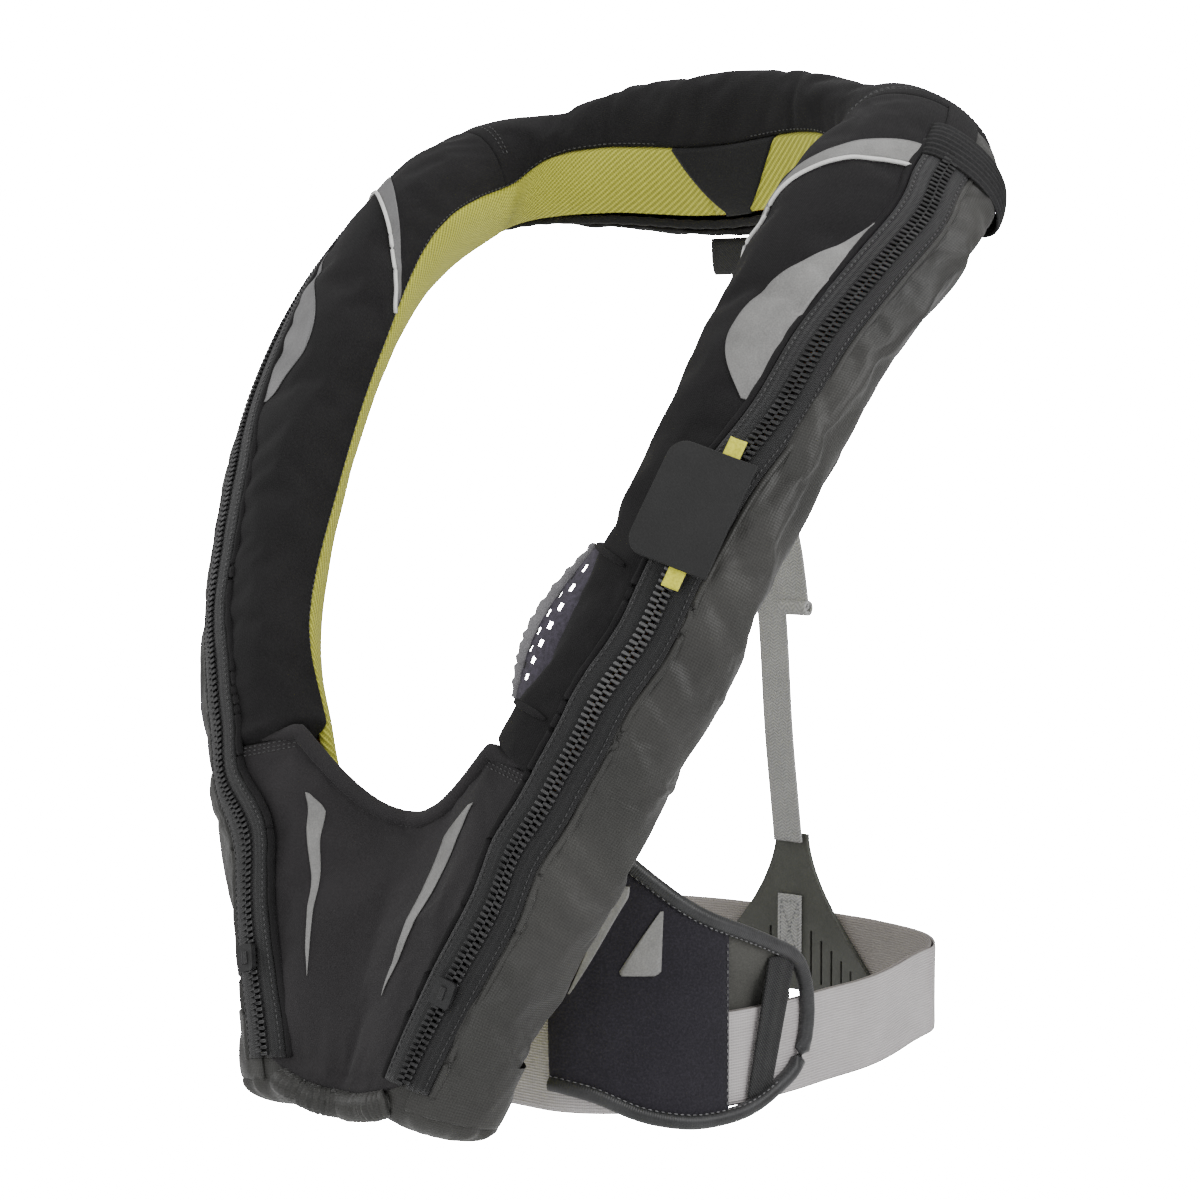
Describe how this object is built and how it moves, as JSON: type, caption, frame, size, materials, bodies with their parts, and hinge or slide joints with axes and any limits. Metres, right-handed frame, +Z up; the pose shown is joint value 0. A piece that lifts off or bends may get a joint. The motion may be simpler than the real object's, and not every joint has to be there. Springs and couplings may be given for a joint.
{
  "type": "inflatable life jacket",
  "caption": "Inflatable life jacket with zipped horseshoe lobes, front bib, side panels, elastic waist belt and back strap with a moulded plate.",
  "frame": {"origin": "centre of the wearer's neck at the height of the collar's foot", "axes": "-Y the way the wearer faces, +X to the wearer's left, +Z up"},
  "size_m": [0.4086, 0.3941, 0.5288],
  "materials": {
    "bladder_film": "coated cloth, satin",
    "stretch_cloth": "knitted stretch cloth, matte",
    "woven_nylon": "woven nylon, light sheen",
    "yellow_mesh": "ribbed mesh",
    "binding_tape": "folded tape, slight sheen",
    "zip_tape": "woven tape",
    "black_plastic": "moulded",
    "flap_cloth": "laminated cloth, matte",
    "yellow_webbing": "tape",
    "grey_elastic": "ribbed elastic",
    "open_mesh": "open mesh",
    "reflective_film": "printed reflective film",
    "bib_cloth": "knitted stretch cloth, matte",
    "padded_cloth": "foam backed knit",
    "black_webbing": "woven webbing",
    "red_plastic": "moulded",
    "grey_plastic": "moulded, satin",
    "grey_webbing": "woven webbing",
    "cream_plastic": "moulded",
    "yellow_plastic": "moulded",
    "steel": "brushed"
  },
  "bodies": {
    "jacket": {"bladder": "bladder_film", "rear_collar_cover": "stretch_cloth", "left_stretch_cover": "stretch_cloth", "right_stretch_cover": "stretch_cloth", "left_nylon_cover": "woven_nylon", "right_nylon_cover": "woven_nylon", "left_neck_lining": "yellow_mesh", "right_neck_lining": "yellow_mesh", "collar_patch": "stretch_cloth", "collar_piping": "binding_tape", "left_zip_tape": "zip_tape", "right_zip_tape": "zip_tape", "left_zip_chain": "black_plastic", "right_zip_chain": "black_plastic", "left_zip_garage": "stretch_cloth", "right_zip_garage": "stretch_cloth", "burst_tabs": "yellow_webbing", "slot_elastic": "grey_elastic", "slot_mesh": "open_mesh", "left_shoulder_leaf": "reflective_film", "right_shoulder_leaf": "reflective_film", "left_shoulder_band": "reflective_film", "right_shoulder_band": "reflective_film", "bib_panel": "bib_cloth", "bib_slashes": "reflective_film", "bib_neck_binding": "binding_tape", "bib_hem": "stretch_cloth", "left_side_panel": "padded_cloth", "right_side_panel": "padded_cloth", "left_panel_binding": "binding_tape", "right_panel_binding": "binding_tape", "panel_marks": "reflective_film", "keeper_straps": "black_webbing", "waist_belt": "grey_elastic", "buckle_socket": "black_plastic", "back_plate": "grey_plastic", "strap_insert": "grey_webbing", "back_strap": "grey_webbing", "collar_anchor": "black_webbing", "inflator_body": "cream_plastic", "lever_pin": "steel", "mouth_tube": "yellow_plastic", "mouth_valve": "black_plastic", "whistle": "cream_plastic"},
    "left_slider": {"left_zip_slider": "black_plastic"},
    "right_slider": {"right_zip_slider": "black_plastic"},
    "flap": {"burst_flap": "flap_cloth"},
    "tongue": {"buckle_tongue": "black_plastic"},
    "button": {"buckle_button": "red_plastic"},
    "adjuster": {"belt_adjuster": "black_plastic"},
    "strap_slide_bar": {"strap_slider": "grey_plastic", "strap_tail": "grey_webbing"},
    "lever": {"firing_lever": "red_plastic"},
    "handle": {"pull_handle": "yellow_plastic"},
    "cylinder": {"gas_cylinder": "steel"},
    "nut": {"inflator_nut": "black_plastic"},
    "plunger": {"valve_plunger": "cream_plastic"},
    "cap": {"valve_cap": "black_plastic"}
  },
  "joints": [
    {"name": "left_zip_pull", "type": "slide", "parent": "jacket", "child": "left_slider", "axis": [0.2661, 0.2088, 0.9411], "range_m": [0, 0.012]},
    {"name": "right_zip_pull", "type": "slide", "parent": "jacket", "child": "right_slider", "axis": [-0.2661, 0.2088, 0.9411], "range_m": [0, 0.012]},
    {"name": "flap_open", "type": "hinge", "parent": "jacket", "child": "flap", "pos_m": [0.16778, -0.173, -0.13648], "axis": [0.1759, 0.4579, 0.8714], "range_deg": [0, 100]},
    {"name": "buckle_pull", "type": "slide", "parent": "jacket", "child": "tongue", "axis": [1, 0, 0], "range_m": [0, 0.03]},
    {"name": "button_press", "type": "slide", "parent": "jacket", "child": "button", "axis": [0, 1, 0], "range_m": [0, 0.002], "stiffness_N_per_m": 400},
    {"name": "adjuster_slide", "type": "slide", "parent": "jacket", "child": "adjuster", "axis": [-1, 0, 0], "range_m": [0, 0.01]},
    {"name": "strap_slide", "type": "slide", "parent": "jacket", "child": "strap_slide_bar", "axis": [0, 0.1349, -0.9909], "range_m": [-0.04, 0.06]},
    {"name": "lever_swing", "type": "hinge", "parent": "jacket", "child": "lever", "pos_m": [-0.12853, -0.18675, -0.20916], "axis": [0.4131, 0.881, -0.2307], "range_deg": [0, 60]},
    {"name": "handle_pull", "type": "slide", "parent": "jacket", "child": "handle", "axis": [0.2972, -0.3699, -0.8802], "range_m": [0, 0.02]},
    {"name": "cylinder_turn", "type": "hinge", "parent": "jacket", "child": "cylinder", "pos_m": [-0.13041, -0.17897, -0.18284], "axis": [-0.2972, 0.3699, 0.8802], "continuous": true},
    {"name": "nut_turn", "type": "hinge", "parent": "jacket", "child": "nut", "pos_m": [-0.11025, -0.19087, -0.19216], "axis": [-0.8608, 0.295, -0.4147], "continuous": true},
    {"name": "valve_press", "type": "slide", "parent": "jacket", "child": "plunger", "axis": [-0.3336, -0.3376, -0.8802], "range_m": [0, 0.0015], "stiffness_N_per_m": 200},
    {"name": "cap_off", "type": "slide", "parent": "jacket", "child": "cap", "axis": [0.3336, 0.3376, 0.8802], "range_m": [0, 0.014]}
  ],
  "couplings": [
    {"joint": "lever_swing", "follows": "handle_pull", "rad_per_m": 51.313}
  ]
}
